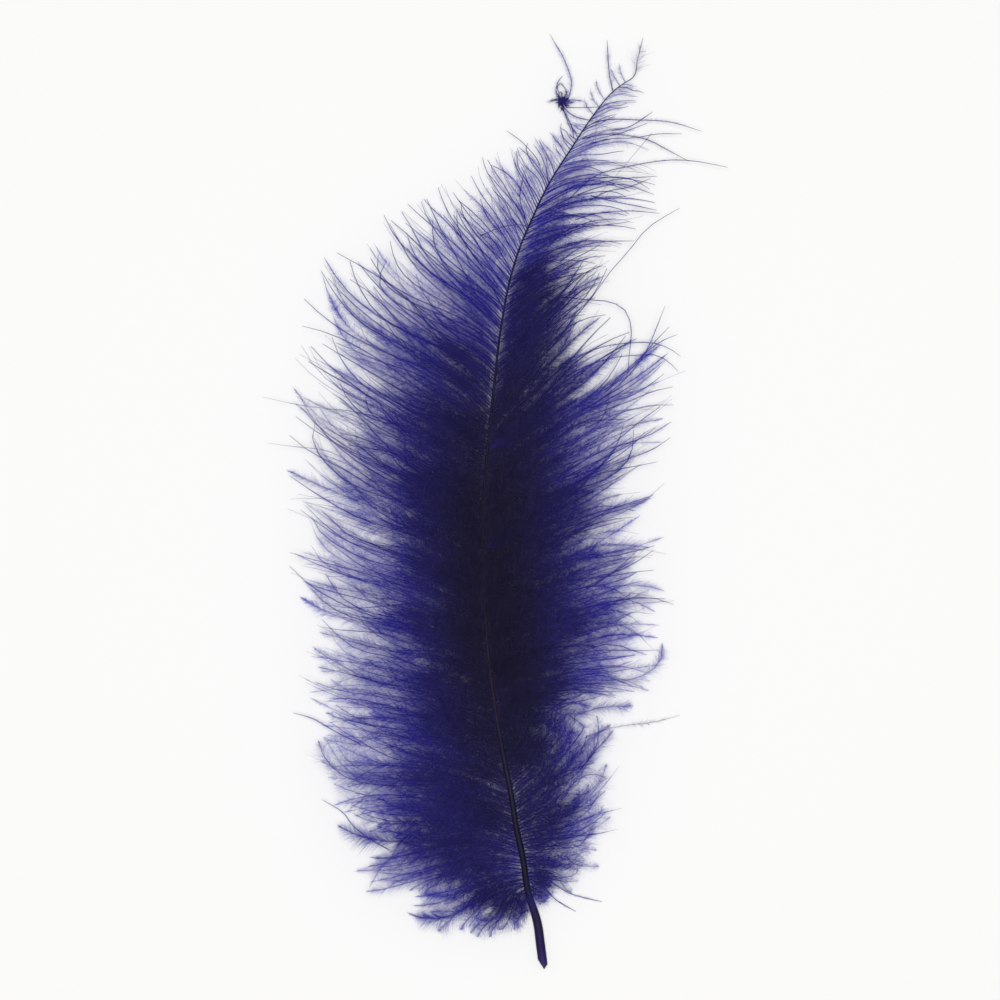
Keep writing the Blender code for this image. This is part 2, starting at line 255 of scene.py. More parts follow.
# Each kind with its barbs' thickness, the share of barbules that grow, and how dark it is on the down's ramp
# of painted shade; the knot's last.
STRAY_KINDS = (
    (STRAYS, (0.8, 0.35, 0.1)),
    (FAINT_STRAYS, (0.35, 0.35, 0.1)),
    (PLUMED_STRAYS, (0.35, 0.09, 0.35)),
    (DEEP_STRAYS, (0.5, 0.9, 0.42)),
)
KNOT_TRAITS = (0.6, 0.35, 0.4)
STRAY_BARE_END = 0.12

# Knot: a tangle of barb ends beside the tip, each through its middle, bent and running out unevenly far.
KNOT_AT = (10.5, 64.8, 3.2)
KNOT_SHAPE = (1.15, 0.9, 0.7)
KNOT_SPIKES = 36
KNOT_REACH = (0.5, 2.6)
KNOT_REACH_POWER = 3
KNOT_BEND = 0.5
KNOT_THROUGH = (-0.5, 0, 0.5, 1)
KNOT_DOWN = 0.5

# Layers of bunches, dealt out in this order: rise off the shaft, height of the outer third and of the tip.
# A barb of the full length has these heights, a shorter one less, and each a little more or less by chance.
LAYERS = ((0.3, 0.9, 0.5), (2.1, 6.8, 5.4), (1.2, 3.6, 2.6), (2.8, 10.4, 8.4))
FULL_LENGTH = 25.0
LEAST_SCALE = 0.5
HEIGHT_SPREAD = 0.08
# How far the curve's handles reach at root and tip, as shares of the chord.
HANDLES = (0.35, 0.4)

# Turn of a barb against its chord, by the y of its root, in degrees towards the feather's tip.
TURN_AT = (-63.0, -58.0, -50.0, -40.0, -37.0, -20.0, 0.0, 20.0, 50.0, 68.0)
LEFT_START = (26, 20, 12, 16, 14, 14, 9, 8, 4, 0)
LEFT_END = (-16, -10, -4, 2, 4, 8, 14, 18, 5, 0)
RIGHT_START = (10, 0, -8, -8, 34, 22, 16, -8, 26, 12)
RIGHT_END = (-20, 8, 24, 26, -22, -14, 4, -14, -24, -8)
START_SPREAD = 5.0
# Some barbs turn far more at the end.
WILD_SHARE = 0.09
WILD_TURN = 24.0

# Barbs: points on each line, steps to each point where a line is drawn through others, and the radius
# from root to tip. Some are finer.
BARB_POINTS = 13
FINE_STEPS = 4
BARB_RADII = ((0.0, 0.14), (0.08, 0.11), (0.3, 0.078), (0.85, 0.078), (1.0, 0.04))
FINE_BARB_SHARE = 0.6
FINE_BARB_STEM = 0.4
# How far a row runs on below and above its guides, and how uneven the gaps are. The roots stand in small
# groups, as the teeth of a comb.
ROW_ENDS = (0.4, 1.5)
GAP_RANGE = (0.8, 1.2)
TOOTH_GAP = 0.5
# Share of barbs that reach the outline, and how far these and the others go.
FULL_REACH_SHARE = 0.24
FULL_REACH = (0.9, 1.01)
SHORT_REACH = (0.4, 0.92)
# Tips gather in bunches and in smaller wisps; how late on the barb each pull sets in; and loose barbs.
GATHER_POWER = 3
BUNCH_BARBS = 5
BUNCH_POWER = 3.5
WISP_SPAN = 1.3
WISP_SWAY = 0.45
WISP_POWER = 2.2
LOOSE_SHARE = 0.35
GATHERED_SPREAD = 0.35
LOOSE_POWER = 1.4
# Waves on a barb: how many, how uneven in size, and how much of that goes up and down.
WAVE_TURNS = (0.8, 2.2)
WAVE_SIZES = (0.15, 1.0)
WAVE_RISE = 0.4

# By the y of a barb's root: gap to the next barb, thickness of the barb, spread of its end's turn and of its
# tip's place, pull of the tips together in a bunch and in a wisp, drift of a bunch's tips, size of its waves,
# length of its barbules, how long they still are at its end, and bare share of its end.
DOWN_AT = (-66.0, -58.0, -52.0, -40.0, -20.0, 0.0, 25.0, 45.0, 60.0, 70.0)
BARB_GAP = (0.1, 0.11, 0.14, 0.16, 0.19, 0.2, 0.21, 0.34, 0.52, 0.55)
BARB_STEM = (0.65, 0.65, 0.7, 0.75, 0.85, 1.0, 1.1, 0.95, 0.8, 0.75)
END_SPREAD = (24, 25, 25, 20, 20, 19, 18, 15, 12, 8)
TIP_SPREAD = (1.5, 1.6, 1.8, 2.0, 2.4, 2.6, 2.4, 1.8, 1.0, 0.5)
GATHERING = (0.2, 0.25, 0.35, 0.45, 0.5, 0.7, 0.7, 0.7, 0.6, 0.4)
WISP_PULL = (0.3, 0.35, 0.4, 0.5, 0.6, 0.75, 0.75, 0.75, 0.8, 0.6)
BUNCH_DRIFT = (0.6, 0.7, 0.9, 0.9, 0.8, 0.7, 0.6, 0.3, 0.1, 0.0)
WAVE_SIZE = (0.7, 0.8, 0.9, 0.9, 0.7, 0.5, 0.4, 0.3, 0.2, 0.15)
DOWN_LENGTH = (2.0, 2.6, 3.0, 3.0, 3.0, 2.8, 2.5, 1.8, 1.2, 0.8)
END_DOWN = (0.9, 0.9, 0.9, 0.8, 0.6, 0.45, 0.4, 0.4, 0.5, 0.8)
BARE_END = (0.05, 0.04, 0.03, 0.05, 0.09, 0.15, 0.2, 0.24, 0.24, 0.15)
# Where on a barb its down starts to shorten, and how uneven length and bare end are.
END_DOWN_FROM = 0.55
DOWN_RANGE = (0.8, 1.2)
BARE_RANGE = (0.2, 1.5)
# Barbules start short at the root, grow over a first stretch, and fade out again before the bare end.
ROOT_DOWN = 0.4
ROOT_STRETCH = 1.8
FADE_SPANS = (1.3, 0.03)
FADE_POWER = 0.8

# Closed down: how many layers of barbules lie over each other, by the y of the root and from shaft to fringe.
DENSITY_ALONG = (0.0, 0.25, 0.5, 0.75, 1.0)
LEFT_DENSITY = (
    (-66.0, (0.7, 1.4, 0.9, 0.42, 0.2)),
    (-55.0, (1.3, 2.7, 2.0, 0.8, 0.3)),
    (-40.0, (1.9, 3.0, 1.25, 0.42, 0.16)),
    (-20.0, (3.6, 2.9, 0.9, 0.38, 0.16)),
    (0.0, (4.2, 3.3, 1.15, 0.5, 0.2)),
    (12.0, (2.7, 2.4, 1.05, 0.52, 0.2)),
    (25.0, (1.3, 1.4, 0.72, 0.4, 0.17)),
    (38.0, (0.45, 0.65, 0.42, 0.25, 0.12)),
    (45.0, (0.35, 0.42, 0.33, 0.2, 0.12)),
    (60.0, (0.15, 0.25, 0.25, 0.17, 0.1)),
)
RIGHT_DENSITY = (
    (-66.0, (0.5, 0.9, 0.6, 0.3, 0.2)),
    (-60.0, (0.8, 1.2, 0.8, 0.35, 0.18)),
    (-55.0, (1.3, 1.9, 1.2, 0.5, 0.2)),
    (-48.0, (1.5, 2.0, 1.3, 0.6, 0.25)),
    (-40.0, (2.2, 2.4, 1.4, 0.8, 0.35)),
    (-37.5, (2.8, 3.2, 0.95, 0.27, 0.1)),
    (-20.0, (3.8, 3.9, 1.9, 0.85, 0.2)),
    (0.0, (4.2, 3.4, 1.4, 0.55, 0.16)),
    (10.0, (3.2, 3.0, 2.1, 1.1, 0.32)),
    (25.0, (1.9, 2.4, 2.3, 1.5, 0.6)),
    (38.0, (1.3, 1.9, 0.95, 0.27, 0.08)),
    (45.0, (0.9, 1.3, 0.4, 0.1, 0.03)),
    (60.0, (0.15, 0.2, 0.12, 0.05, 0.02)),
)
# Extra down close to the shaft, by the same y as the barbs' tables, and how far it goes.
ROOT_GAIN = (0.4, 0.4, 0.4, 0.8, 1.6, 1.0, -0.5, -0.5, 0.0, 0.0)
ROOT_REACH = 1.3
# Places where the down lies thicker or thinner: centre, half widths, and by how much.
THICK_PLACES = (
    ((4.5, 30.0), (3.5, 9.0), 0.6),
    ((19.0, 28.0), (5.0, 2.5), -0.2),
    ((11.5, -0.3), (4.5, 2.0), 0.6),
    ((12.0, 20.5), (3.0, 3.0), 0.3),
    ((12.0, -20.5), (4.0, 2.0), 0.8),
    ((15.0, -22.0), (6.0, 3.0), 0.2),
    ((10.5, -35.5), (3.5, 5.0), 0.15),
    ((6.4, -38.0), (1.6, 2.2), 0.5),
    ((4.5, -31.0), (4.5, 7.0), 0.5),
    ((-8.0, -50.5), (7.0, 5.0), 0.4),
    ((7.2, -61.0), (1.4, 2.0), 1.1),
    ((-8.0, -58.0), (8.0, 3.5), 0.15),
    ((-1.5, -63.5), (3.0, 2.5), 0.8),
    ((20.5, 53.0), (5.0, 3.5), -0.4),
    ((20.5, 16.5), (4.5, 7.0), -0.25),
    ((12.5, 5.0), (4.0, 3.5), -0.25),
    ((20.5, -15.5), (4.5, 6.5), 0.27),
    ((-28.0, 20.5), (4.0, 3.5), 0.5),
    ((-28.0, -3.5), (4.0, 4.0), 0.3),
)
# Share of a barbule's face that is seen from above, and the most barbules that may grow, from open
# to closed down.
SEEN_SHARE = 0.45
MOST_SHARES_AT = (0.0, 0.5)
MOST_SHARES = (0.65, 0.95)
# Patches of thick and thin down: their sizes, how uneven those are, and how strong they show.
PATCH_SIZES = (9.0, 5.0, 3.0)
PATCH_RANGE = (0.8, 1.25)
PATCH_WAVES = 5
PATCH_CONTRAST = 0.24
# Grid over the table that tells how crowded the barbs are.
CELL = 0.5
GRID_CORNER = (-50.0, -85.0)
GRID_CELLS = (200, 340)
CROWD_BLURS = 6
LEAST_CROWD = 0.1

# How dark the down is, as painted shade where its layers close up: in the core by y, how far from the shaft
# that reaches, how far off it the core lies, elsewhere in closed down, and how many layers count as open and
# as closed.
CORE_AT = (-60, -45, -25, 0, 12, 25, 40)
CORE_SHADE = (0.2, 0.4, 0.55, 0.55, 0.42, 0.22, 0.06)
CORE_REACH = 9.0
CORE_POWER = 3
CORE_SHIFT = 1.2
CLOSED_DEPTH = 0.42
CLOSED_RANGE = (0.3, 2.6)

# Barbules: places for them along a barb, where their middle is and its half width, the bends of middle
# and end, the lean from the barb in degrees, how uneven their lengths are, and how long a barb's must be
# to be drawn. Real ones are finer: these are wide enough to close up the down as those do.
BARBULE_SPACING = 0.008
BARBULE_MIDDLE = (0.55, 0.42)
BARBULE_BENDS = ((0.12, 0.0), (0.1, 0.26), (-0.06, 0.1), (-0.14, -0.05))
BARBULE_LEANS = (35.0, 70.0)
BARBULE_LENGTHS = (0.6, 1.3)
LEAST_DOWN = 0.15
# From the open fringe to the closed down: their width and the share of straight ones; wider still where few
# barbs pass but the down is closed.
WIDTH_AT = (0.0, 0.6)
BARBULE_WIDTHS = (0.015, 0.05)
STRAIGHT_SHARES = (0.6, 0.95)
MOST_WIDENING = 2.2
# How much darker a barb is than its barbules.
STEM_DEPTH = 0.3
# What each point of a barb's line carries for the down tree.
TRAITS = ("down", "width", "share", "straight", "thickness", "depth", "tint")

# Colours: the down from open to closed, dye with painted light in the open fringe and painted shade to near
# black where it closes, and where its middle one lies, its change from barb to barb, and the shaft by its y.
DOWN_HEX = ("3F38C4", "2F2A7E", "262234")
DOWN_MIDDLE = 0.38
TINTS = (0.8, 1.2)
# In the piece's UV map: span of depth and tint, room for one face of its own, and margin.
PALETTE = (0.94, 0.03, 0.01)
SHAFT_COLOURS = (
    (-75.0, "40343E"),
    (-74.0, "2A1C56"),
    (-71.5, "1B0F40"),
    (-69.0, "1A1138"),
    (-66.0, "191434"),
    (-60.0, "110E1C"),
    (-48.0, "151026"),
    (-38.0, "1D1326"),
    (-30.0, "221526"),
    (-20.0, "16121D"),
    (-7.0, "100E13"),
    (14.0, "100E19"),
    (45.0, "181528"),
    (60.0, "282546"),
    (75.0, "4A4878"),
)

# No barb's line lies lower than the first height, and no point of the down lower than the second.
LEAST_HEIGHT = 0.25
LYING_HEIGHT = 0.02
# Each row of barbs is parted into four pieces, from the quill up.
BANDS = ("low", "lower_middle", "upper_middle", "top")

# Stage: paper, light, and the width, centre and height of the plane that the picture shows, in millimetres.
FLOOR_HEX = "E6E6E5"
ROOM_LIGHT = 0.28
PANEL_WATTS = 16.2
PHOTO_WIDTH = 161.0
PHOTO_CENTRE = (0.48, 0.64, 2.5)


def linear(code):
    """A six-digit sRGB hex value as a linear colour."""
    values = [int(code[i : i + 2], 16) / 255 for i in (0, 2, 4)]
    return (*[v / 12.92 if v <= 0.04045 else ((v + 0.055) / 1.055) ** 2.4 for v in values], 1.0)


def add_node(tree, kind, inputs=None, **settings):
    """A node with its settings; each input takes a value, or the output or node that feeds it."""
    node = tree.nodes.new(kind)
    for name, value in settings.items():
        setattr(node, name, value)
    for key, value in (inputs or {}).items():
        socket = node.inputs[key] if isinstance(key, int) else next(
            s for s in node.inputs if s.name == key and s.enabled
        )
        if isinstance(value, bpy.types.Node):
            value = next(s for s in value.outputs if s.enabled)
        if isinstance(value, bpy.types.NodeSocket):
            tree.links.new(value, socket)
        else:
            socket.default_value = value
    return node


def new_object(name, mesh):
    obj = bpy.data.objects.new(name, mesh)
    bpy.context.scene.collection.objects.link(obj)
    return obj


def shaft_at(y):
    """x and height of the shaft's centre at each y."""
    table = np.array(SHAFT)
    return np.interp(y, table[:, 1], table[:, 0]), np.interp(y, table[:, 1], table[:, 2])


def turned(vectors, degrees):
    """Each row of xy vectors turned anticlockwise by its own angle."""
    angle = np.radians(degrees)
    x, y = vectors[:, 0], vectors[:, 1]
    return np.stack([x * np.cos(angle) - y * np.sin(angle), x * np.sin(angle) + y * np.cos(angle)], axis=1)


def smooth_noise(rng, count, step):
    """Noise that changes over about this many neighbours, from -1 to 1."""
    knots = rng.uniform(-1, 1, int(count / step) + 4)
    return np.interp(np.arange(count) / step, np.arange(len(knots)), knots)


def sweep(roots, tips, layers, side, starts, ends, points):
    """Barb centre lines from root to tip, each along a curve with two handles."""
    _, z = shaft_at(roots[:, 1])
    chord = tips - roots
    length = np.hypot(chord[:, 0], chord[:, 1])
    scale = np.clip(length / FULL_LENGTH, LEAST_SCALE, 1.0)
    leave = turned(chord, side * starts) * HANDLES[0]
    arrive = turned(chord, side * ends) * HANDLES[1]
    rise, crest, tip_z = layers.T
    p0 = np.column_stack([roots, z])
    p1 = np.column_stack([roots + leave, z + rise * scale])
    p2 = np.column_stack([tips - arrive, z + (crest - z) * scale])
    p3 = np.column_stack([tips, z + (tip_z - z) * scale])
    t = np.linspace(0, 1, points)[None, :, None]
    return (
        p0[:, None] * (1 - t) ** 3
        + p1[:, None] * 3 * t * (1 - t) ** 2
        + p2[:, None] * 3 * t**2 * (1 - t)
        + p3[:, None] * t**3
    )


def barb_row(side, rng):
    """Centre lines of one side's barbs in millimetres, with each root's y and share of the full reach."""
    guides = np.array(sorted(LEFT_GUIDES if side < 0 else RIGHT_GUIDES))
    count_guides = len(guides)
    order = np.arange(count_guides)[::-1]
    layers = np.array(LAYERS)[(order + (side > 0)) % len(LAYERS)]
    root_y = [guides[0, 0] - ROW_ENDS[0]]
    while root_y[-1] < guides[-1, 0] + ROW_ENDS[1]:
        root_y.append(root_y[-1] + np.interp(root_y[-1], DOWN_AT, BARB_GAP) * rng.uniform(*GAP_RANGE))
    root_y = np.array(root_y)
    count = len(root_y)
    place = np.interp(root_y, guides[:, 0], np.arange(count_guides))
    low = np.clip(np.floor(place).astype(int), 0, count_guides - 2)
    mix = (place - low)[:, None]
    pull = np.interp(root_y, DOWN_AT, GATHERING)[:, None] * np.sin(2 * math.pi * mix) / (2 * math.pi)
    tips = guides[low, 1:] * (1 - mix) + guides[low + 1, 1:] * mix
    gather = (guides[low, 1:] - guides[low + 1, 1:]) * pull
    height = layers[low] * (1 - mix) + layers[low + 1] * mix
    teeth = np.round(root_y / TOOTH_GAP) * TOOTH_GAP
    x, _ = shaft_at(teeth)
    roots = np.column_stack([x, teeth])
    chord = tips - roots
    across = turned(chord, np.full(count, 90.0)) / np.hypot(*chord.T)[:, None]
    full = rng.random(count) < FULL_REACH_SHARE
    reach = np.where(full, rng.uniform(*FULL_REACH, count), rng.uniform(*SHORT_REACH, count))
    full_tips = tips
    tips = roots + chord * reach[:, None]
    height = height * (1 + HEIGHT_SPREAD * rng.uniform(-1, 1, (count, 1)))
    starts = np.interp(root_y, TURN_AT, LEFT_START if side < 0 else RIGHT_START)
    starts = starts + rng.normal(0, START_SPREAD, count)
    ends = np.interp(root_y, TURN_AT, LEFT_END if side < 0 else RIGHT_END)
    ends = ends + rng.normal(0, 1, count) * np.interp(root_y, DOWN_AT, END_SPREAD)
    ends = ends + (rng.random(count) < WILD_SHARE) * rng.normal(0, WILD_TURN, count)
    line = sweep(roots, tips, height, side, starts, ends, BARB_POINTS)
    t = np.linspace(0, 1, BARB_POINTS)[None, :, None]
    bunch = smooth_noise(rng, count, BUNCH_BARBS) * np.interp(root_y, DOWN_AT, BUNCH_DRIFT)
    bunch = bunch[:, None, None] * t**BUNCH_POWER
    loose = np.where(rng.random(count) < LOOSE_SHARE, 1.0, GATHERED_SPREAD)
    loose = loose * np.clip(np.hypot(*chord.T) / FULL_LENGTH, LEAST_SCALE, 1.0)
    wisp = np.cumsum(rng.random(count) < np.interp(root_y, DOWN_AT, BARB_GAP) / WISP_SPAN)
    members = np.maximum(np.bincount(wisp), 1)
    middle = np.column_stack([np.bincount(wisp, full_tips[:, k]) / members for k in (0, 1)])[wisp]
    aside = ((full_tips - middle) * across).sum(axis=1) * reach * np.interp(root_y, DOWN_AT, WISP_PULL)
    sway = rng.normal(0, WISP_SWAY, len(members))[wisp] * np.interp(root_y, DOWN_AT, TIP_SPREAD)
    own = rng.normal(0, 1, count) * loose * np.interp(root_y, DOWN_AT, TIP_SPREAD)
    own = own[:, None, None] * t**LOOSE_POWER
    closing = (sway - aside)[:, None, None] * t**WISP_POWER
    line[:, :, :2] += across[:, None, :] * (bunch + own + closing) + gather[:, None, :] * t**GATHER_POWER
    return wavy(line, np.interp(root_y, DOWN_AT, WAVE_SIZE)[:, None], rng), root_y, reach


def wavy(line, most, rng):
    """The lines with a slow sideways wave that grows towards the tip."""
    count, points, _ = line.shape
    t = np.linspace(0, 1, points)[None, :]
    for axis in range(3):
        phase = rng.uniform(0, 2 * math.pi, (count, 1))
        turns = rng.uniform(*WAVE_TURNS, (count, 1))
        size = rng.uniform(*WAVE_SIZES, (count, 1)) * most * (WAVE_RISE if axis == 2 else 1.0)
        line[:, :, axis] += size * t * np.sin(phase + turns * 2 * math.pi * t)
    line[:, :, 2] = np.maximum(line[:, :, 2], LEAST_HEIGHT)
    return line


def through(points, count):
    """Points spread evenly along a smooth line through the given ones."""
    points = np.array(points, float)
    padded = np.vstack([2 * points[0] - points[1], points, 2 * points[-1] - points[-2]])
    place = np.linspace(0, len(points) - 1, count * FINE_STEPS)
    low = np.minimum(place.astype(int), len(points) - 2)
    t = (place - low)[:, None]
    a, b, c, d = (padded[low + k] for k in range(4))
    fine = 0.5 * (2 * b + (c - a) * t + (2 * a - 5 * b + 4 * c - d) * t**2 + (3 * b - a - 3 * c + d) * t**3)
    run = np.concatenate([[0], np.cumsum(np.linalg.norm(np.diff(fine, axis=0), axis=1))])
    wanted = np.linspace(0, run[-1], count)
    return np.column_stack([np.interp(wanted, run, fine[:, k]) for k in range(fine.shape[1])])


def stray_barbs(rng):
    """Centre lines of the stray barbs and the knot's, with what barb_mesh takes for each."""
    lines, traits = [], []
    for table, kind in STRAY_KINDS:
        for down, start_z, end_z, points in table:
            heights = np.linspace(start_z, end_z, len(points))
            lines.append(through(np.column_stack([points, heights]), BARB_POINTS))
            traits.append((down, *kind))
    least, most = KNOT_REACH
    for _ in range(KNOT_SPIKES):
        away = rng.normal(0, 1, 3)
        away *= np.array(KNOT_SHAPE) / np.linalg.norm(away)
        reach = least + (most - least) * rng.random() ** KNOT_REACH_POWER
        bend = rng.normal(0, KNOT_BEND, 3)
        points = [np.array(KNOT_AT) + away * reach * t + bend * math.sin(math.pi * t) for t in KNOT_THROUGH]
        lines.append(through(points, BARB_POINTS))
        traits.append((KNOT_DOWN, *KNOT_TRAITS))
    line = np.array(lines)
    line[:, :, 2] = np.maximum(line[:, :, 2], LEAST_HEIGHT)
    length, stem, share, depth = (column[:, None] for column in np.array(traits).T)
    width = np.interp(depth, WIDTH_AT, BARBULE_WIDTHS)
    traits = {"length": length, "stem": stem, "share": share, "depth": depth, "width": width}
    traits["bare"] = STRAY_BARE_END
    return line, traits


def crowding(lines, weights=None):
    """How much barb there is over each cell of the table, each stretch counted by its weight if given."""
    low = np.array(GRID_CORNER)
    points = np.concatenate([(line[:, 1:] + line[:, :-1]).reshape(-1, 3) / 2 for line in lines])
    step = np.concatenate([np.linalg.norm(np.diff(line, axis=1), axis=2).ravel() for line in lines])
    if weights:
        step = step * np.concatenate([(weight[:, 1:] + weight[:, :-1]).ravel() / 2 for weight in weights])
    index = np.clip(((points[:, :2] - low) / CELL).astype(int), 0, np.array(GRID_CELLS) - 1)
    grid = np.zeros(GRID_CELLS)
    np.add.at(grid, (index[:, 0], index[:, 1]), step)
    for _ in range(CROWD_BLURS):
        for axis in (0, 1):
            grid = (np.roll(grid, 1, axis) + 2 * grid + np.roll(grid, -1, axis)) / 4
    return grid / CELL**2, low


def crowd_at(points, crowd):
    """What the crowding's grid says at each point."""
    grid, low = crowd
    index = np.clip(((points[..., :2] - low) / CELL).astype(int), 0, np.array(grid.shape) - 1)
    return grid[index[..., 0], index[..., 1]]


def patchy(points):
    """A slow noise over the table, near zero on average: where the down lies thick and where thin."""
    rng = np.random.default_rng(SEED)
    total = 0
    for size in PATCH_SIZES:
        for _ in range(PATCH_WAVES):
            angle, phase = rng.uniform(0, 2 * math.pi, 2)
            across = points[..., 0] * math.cos(angle) + points[..., 1] * math.sin(angle)
            wave = np.sin(2 * math.pi * across / (size * rng.uniform(*PATCH_RANGE)) + phase)
            total = total + wave / PATCH_WAVES**0.5
    return total / len(PATCH_SIZES) ** 0.5


def depth_at(points, density):
    """How deep in the closed down a place is, from 0 in the open fringe to 1 in the core of near-black painted
    shade.
    """
    closed = np.clip((density - CLOSED_RANGE[0]) / (CLOSED_RANGE[1] - CLOSED_RANGE[0]), 0, 1)
    x, _ = shaft_at(points[..., 1])
    off = np.abs(points[..., 0] - x - CORE_SHIFT)
    core = np.interp(points[..., 1], CORE_AT, CORE_SHADE)
    return np.clip(closed * (CLOSED_DEPTH + core * np.exp(-((off / CORE_REACH) ** CORE_POWER))), 0, 1)


def layers_wanted(side, line, root_y, reach):
    """How many layers of down are to lie over each other at each point of a row's barbs."""
    along = np.linspace(0, 1, line.shape[1])[None, :] * reach[:, None]
    table = LEFT_DENSITY if side < 0 else RIGHT_DENSITY
    heights = [y for y, _ in table]
    columns = np.array([np.interp(root_y, heights, column) for column in zip(*(row for _, row in table))]).T
    layers = np.array([np.interp(place, DENSITY_ALONG, row) for place, row in zip(along, columns)])
    off = np.hypot(line[..., 0] - line[:, :1, 0], line[..., 1] - line[:, :1, 1])
    root_gain = np.interp(root_y, DOWN_AT, ROOT_GAIN)[:, None]
    layers = layers * np.exp(PATCH_CONTRAST * patchy(line)) * (1 + root_gain * np.exp(-off / ROOT_REACH))
    for (x, y), (wide, tall), gain in THICK_PLACES:
        near = np.exp(-(((line[..., 0] - x) / wide) ** 2) - ((line[..., 1] - y) / tall) ** 2)
        layers = layers * (1 + gain * near)
    return layers


def row_traits(line, root_y, reach, layers, closed, crowd, rng):
    """What barb_mesh takes for each barb of a row, from the tables by its root's y and the layers wanted."""
    tables = {"length": DOWN_LENGTH, "bare": BARE_END, "stem": BARB_STEM}
    traits = {name: np.interp(root_y, DOWN_AT, table)[:, None] for name, table in tables.items()}
    traits["length"] = traits["length"] * rng.uniform(*DOWN_RANGE, (len(root_y), 1))
    traits["bare"] = traits["bare"] * rng.uniform(*BARE_RANGE, (len(root_y), 1))
    traits["stem"] = np.where(rng.random((len(root_y), 1)) < FINE_BARB_SHARE, FINE_BARB_STEM, traits["stem"])
    along = np.linspace(0, 1, line.shape[1])[None, :] * reach[:, None]
    shorter = 1 - np.interp(root_y, DOWN_AT, END_DOWN)[:, None]
    outer = np.clip((along - END_DOWN_FROM) / (1 - END_DOWN_FROM), 0, 1)
    traits["length"] = traits["length"] * (1 - shorter * outer)
    crowded = np.maximum(crowd_at(line, crowd), LEAST_CROWD)
    depth = depth_at(line, crowd_at(line, closed) / crowded)
    width = np.interp(depth, WIDTH_AT, BARBULE_WIDTHS)
    cover = width * traits["length"] * sum(BARBULE_LENGTHS) / 4 * SEEN_SHARE / BARBULE_SPACING
    share = layers / (cover * crowded)
    most = np.interp(depth, MOST_SHARES_AT, MOST_SHARES)
    traits["share"] = np.minimum(share, most)
    traits["width"] = width * np.clip(share / most, 1, MOST_WIDENING)
    traits["depth"] = depth
    return traits


def barb_mesh(name, line, traits, rng):
    """Barb centre lines as chains of edges, with what the down needs to know at each point."""
    count, points, _ = line.shape
    mesh = bpy.data.meshes.new(name)
    mesh.vertices.add(count * points)
    mesh.vertices.foreach_set("co", (line * MM).astype(np.float32).ravel())
    first = (np.arange(count)[:, None] * points + np.arange(points - 1)[None, :]).ravel()
    mesh.edges.add(len(first))
    mesh.edges.foreach_set("vertices", np.column_stack([first, first + 1]).astype(np.int32).ravel())
    t = np.linspace(0, 1, points)[None, :]
    reach = np.linalg.norm(np.diff(line, axis=1), axis=2).sum(axis=1)[:, None]
    grow = np.clip(t * reach / ROOT_STRETCH + ROOT_DOWN, 0, 1)
    span = FADE_SPANS[0] * traits["bare"] + FADE_SPANS[1]
    fade = np.clip((1 - traits["bare"] - t) / span, 0, 1) ** FADE_POWER
    depth = traits["depth"]
    values = (
        traits["length"] * grow * fade * MM,
        traits["width"] * MM,
        traits["share"],
        np.interp(depth, WIDTH_AT, STRAIGHT_SHARES),
        np.interp(t, *zip(*BARB_RADII)) * traits["stem"] * MM,
        depth,
        rng.random((count, 1)),
    )
    for key, value in zip(TRAITS, values):
        value = np.broadcast_to(value, (count, points)).astype(np.float32)
        mesh.attributes.new(key, "FLOAT", "POINT").data.foreach_set("value", value.ravel())
    return new_object(name, mesh)


def barbule_kinds():
    """Ribbons one unit long and one wide, along +X: one straight, the others each bent in the XY plane."""
    kinds = bpy.data.collections.new("barbule kinds")
    at, half = BARBULE_MIDDLE
    shapes = [([(0, 0, -0.5), (0, 0, 0.5), (1, 0, 0)], [(0, 1, 2)], (0, 0, 0, 0, 1, 0, 1, 0.5, 0))]
    for middle, end in BARBULE_BENDS:
        corners = [(0, 0, -0.5), (0, 0, 0.5), (at, middle, -half), (at, middle, half), (1, end, 0)]
        grain = (0, 0, 0, 0, 1, 0, at, 0, 0, at, 1, 0, 1, 0.5, 0)
        shapes.append((corners, [(0, 1, 3, 2), (2, 3, 4)], grain))
    for index, (corners, faces, grain) in enumerate(shapes):
        mesh = bpy.data.meshes.new("barbule")
        mesh.from_pydata(corners, [], faces)
        mesh.attributes.new("grain", "FLOAT_VECTOR", "POINT").data.foreach_set("vector", grain)
        kinds.objects.link(bpy.data.objects.new(f"barbule_kind_{index}", mesh))
    return kinds


